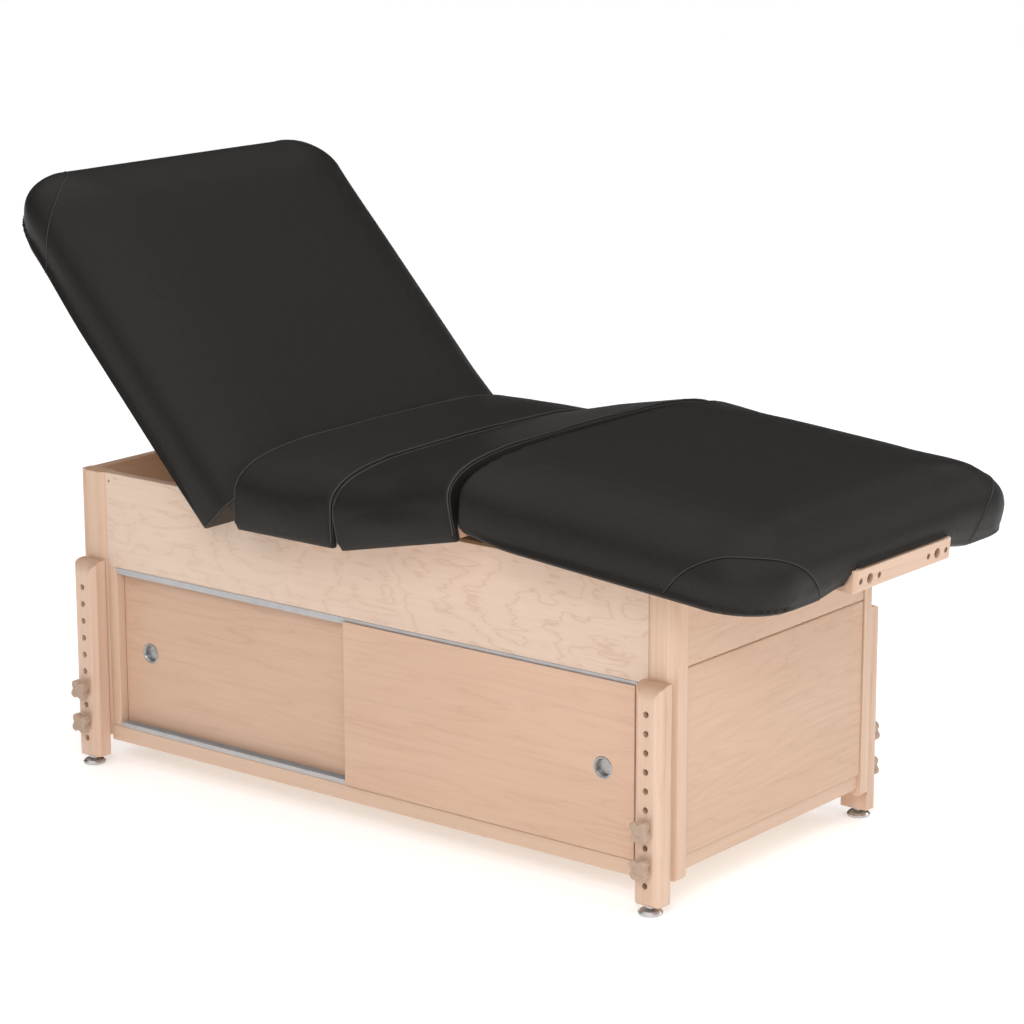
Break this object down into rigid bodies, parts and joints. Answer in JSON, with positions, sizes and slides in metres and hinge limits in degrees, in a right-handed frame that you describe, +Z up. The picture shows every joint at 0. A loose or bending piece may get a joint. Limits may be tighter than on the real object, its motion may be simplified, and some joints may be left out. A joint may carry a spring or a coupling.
{
  "type": "stationary massage table",
  "caption": "Stationary massage table: padded top with a lifting back and a coupled knee and leg lift, on a maple cabinet with sliding doors and height-setting legs.",
  "frame": {"origin": "on the floor under the middle of the overall length in the raised setting, on the table's centre plane", "axes": "+X towards the foot end with the outlet board, +Y across the table towards the far side, +Z up"},
  "size_m": [1.6495, 0.8004, 1.0948],
  "materials": {
    "solid_maple": "satin",
    "maple_ply": "satin",
    "birch_ply": "matte",
    "black_vinyl": "satin",
    "satin_aluminium": "satin",
    "zinc_steel": "satin",
    "polished_metal": "polished",
    "tan_plastic": "satin"
  },
  "bodies": {
    "cabinet": {"corner_posts": "solid_maple", "threaded_inserts": "zinc_steel", "side_aprons": "maple_ply", "end_aprons": "maple_ply", "end_panels": "maple_ply", "bottom_rails": "solid_maple", "cabinet_floor": "birch_ply", "cabinet_top": "birch_ply", "door_jambs": "solid_maple", "door_tracks": "satin_aluminium", "cross_rails": "solid_maple", "seat_cushion": "black_vinyl", "seat_deck": "birch_ply", "seat_battens": "birch_ply", "back_hinge_brackets": "zinc_steel", "knee_hinge_brackets": "zinc_steel", "hinge_pins": "zinc_steel", "link_brackets": "zinc_steel"},
    "backrest": {"back_cushion": "black_vinyl", "back_deck": "birch_ply", "back_battens": "birch_ply", "back_hinge_arms": "zinc_steel"},
    "knee_section": {"knee_cushion": "black_vinyl", "knee_deck": "birch_ply", "knee_battens": "birch_ply", "knee_hinge_arms": "zinc_steel", "knee_hinge_leaf": "zinc_steel", "legrest_hinge_pin": "zinc_steel"},
    "leg_section": {"legrest_cushion": "black_vinyl", "legrest_deck": "birch_ply", "legrest_brackets": "zinc_steel", "legrest_hinge_leaf": "zinc_steel", "outlet_board": "solid_maple", "outlet_cleat": "solid_maple", "outlet_screws": "zinc_steel"},
    "prop_links": {"prop_links": "zinc_steel"},
    "leg_head_near": {"leg_head_near": "solid_maple"},
    "glide_head_near": {"glide_head_near": "polished_metal"},
    "knob_head_near_upper": {"knob_head_near_upper": "tan_plastic"},
    "knob_head_near_lower": {"knob_head_near_lower": "tan_plastic"},
    "leg_foot_near": {"leg_foot_near": "solid_maple"},
    "glide_foot_near": {"glide_foot_near": "polished_metal"},
    "knob_foot_near_upper": {"knob_foot_near_upper": "tan_plastic"},
    "knob_foot_near_lower": {"knob_foot_near_lower": "tan_plastic"},
    "leg_head_far": {"leg_head_far": "solid_maple"},
    "glide_head_far": {"glide_head_far": "polished_metal"},
    "knob_head_far_upper": {"knob_head_far_upper": "tan_plastic"},
    "knob_head_far_lower": {"knob_head_far_lower": "tan_plastic"},
    "leg_foot_far": {"leg_foot_far": "solid_maple"},
    "glide_foot_far": {"glide_foot_far": "polished_metal"},
    "knob_foot_far_upper": {"knob_foot_far_upper": "tan_plastic"},
    "knob_foot_far_lower": {"knob_foot_far_lower": "tan_plastic"},
    "door_near_front": {"door_near_front": "maple_ply", "pull_near_front": "polished_metal"},
    "door_near_rear": {"door_near_rear": "maple_ply", "pull_near_rear": "polished_metal"},
    "door_far_front": {"door_far_front": "maple_ply", "pull_far_front": "polished_metal"},
    "door_far_rear": {"door_far_rear": "maple_ply", "pull_far_rear": "polished_metal"}
  },
  "joints": [
    {"name": "leg_head_near_height", "type": "slide", "parent": "cabinet", "child": "leg_head_near", "axis": [0, 0, -1], "range_m": [0, 0.192]},
    {"name": "glide_head_near_turn", "type": "hinge", "parent": "leg_head_near", "child": "glide_head_near", "pos_m": [-0.7215, -0.3105, 0], "axis": [0, 0, 1], "continuous": true},
    {"name": "knob_head_near_upper_turn", "type": "hinge", "parent": "cabinet", "child": "knob_head_near_upper", "pos_m": [-0.7215, -0.33, 0.148], "axis": [0, -1, 0], "continuous": true},
    {"name": "knob_head_near_lower_turn", "type": "hinge", "parent": "cabinet", "child": "knob_head_near_lower", "pos_m": [-0.7215, -0.33, 0.084], "axis": [0, -1, 0], "continuous": true},
    {"name": "leg_foot_near_height", "type": "slide", "parent": "cabinet", "child": "leg_foot_near", "axis": [0, 0, -1], "range_m": [0, 0.192]},
    {"name": "glide_foot_near_turn", "type": "hinge", "parent": "leg_foot_near", "child": "glide_foot_near", "pos_m": [0.5535, -0.3105, 0], "axis": [0, 0, 1], "continuous": true},
    {"name": "knob_foot_near_upper_turn", "type": "hinge", "parent": "cabinet", "child": "knob_foot_near_upper", "pos_m": [0.5535, -0.33, 0.148], "axis": [0, -1, 0], "continuous": true},
    {"name": "knob_foot_near_lower_turn", "type": "hinge", "parent": "cabinet", "child": "knob_foot_near_lower", "pos_m": [0.5535, -0.33, 0.084], "axis": [0, -1, 0], "continuous": true},
    {"name": "leg_head_far_height", "type": "slide", "parent": "cabinet", "child": "leg_head_far", "axis": [0, 0, -1], "range_m": [0, 0.192]},
    {"name": "glide_head_far_turn", "type": "hinge", "parent": "leg_head_far", "child": "glide_head_far", "pos_m": [-0.7215, 0.3105, 0], "axis": [0, 0, 1], "continuous": true},
    {"name": "knob_head_far_upper_turn", "type": "hinge", "parent": "cabinet", "child": "knob_head_far_upper", "pos_m": [-0.7215, 0.33, 0.148], "axis": [0, 1, 0], "continuous": true},
    {"name": "knob_head_far_lower_turn", "type": "hinge", "parent": "cabinet", "child": "knob_head_far_lower", "pos_m": [-0.7215, 0.33, 0.084], "axis": [0, 1, 0], "continuous": true},
    {"name": "leg_foot_far_height", "type": "slide", "parent": "cabinet", "child": "leg_foot_far", "axis": [0, 0, -1], "range_m": [0, 0.192]},
    {"name": "glide_foot_far_turn", "type": "hinge", "parent": "leg_foot_far", "child": "glide_foot_far", "pos_m": [0.5535, 0.3105, 0], "axis": [0, 0, 1], "continuous": true},
    {"name": "knob_foot_far_upper_turn", "type": "hinge", "parent": "cabinet", "child": "knob_foot_far_upper", "pos_m": [0.5535, 0.33, 0.148], "axis": [0, 1, 0], "continuous": true},
    {"name": "knob_foot_far_lower_turn", "type": "hinge", "parent": "cabinet", "child": "knob_foot_far_lower", "pos_m": [0.5535, 0.33, 0.084], "axis": [0, 1, 0], "continuous": true},
    {"name": "door_near_front_slide", "type": "slide", "parent": "cabinet", "child": "door_near_front", "axis": [-1, 0, 0], "range_m": [0, 0.55]},
    {"name": "door_near_rear_slide", "type": "slide", "parent": "cabinet", "child": "door_near_rear", "axis": [1, 0, 0], "range_m": [0, 0.57]},
    {"name": "door_far_front_slide", "type": "slide", "parent": "cabinet", "child": "door_far_front", "axis": [1, 0, 0], "range_m": [0, 0.55]},
    {"name": "door_far_rear_slide", "type": "slide", "parent": "cabinet", "child": "door_far_rear", "axis": [-1, 0, 0], "range_m": [0, 0.57]},
    {"name": "backrest_tilt", "type": "hinge", "parent": "cabinet", "child": "backrest", "pos_m": [-0.3238, 0, 0.606], "axis": [0, 1, 0], "range_deg": [-47, 28]},
    {"name": "knee_lift", "type": "hinge", "parent": "cabinet", "child": "knee_section", "pos_m": [-0.0304, 0, 0.587], "axis": [0, -1, 0], "range_deg": [-12.3, 2.7]},
    {"name": "leg_section_fold", "type": "hinge", "parent": "knee_section", "child": "leg_section", "pos_m": [0.21488, 0, 0.61776], "axis": [0, -1, 0], "range_deg": [-3.8, 17.1]},
    {"name": "prop_link_swing", "type": "hinge", "parent": "cabinet", "child": "prop_links", "pos_m": [0.27285, 0, 0.53533], "axis": [0, -1, 0], "range_deg": [-18.2, 4.1]}
  ],
  "couplings": [
    {"joint": "leg_section_fold", "follows": "knee_lift", "ratio": -1.3821},
    {"joint": "prop_link_swing", "follows": "knee_lift", "ratio": 1.471}
  ]
}
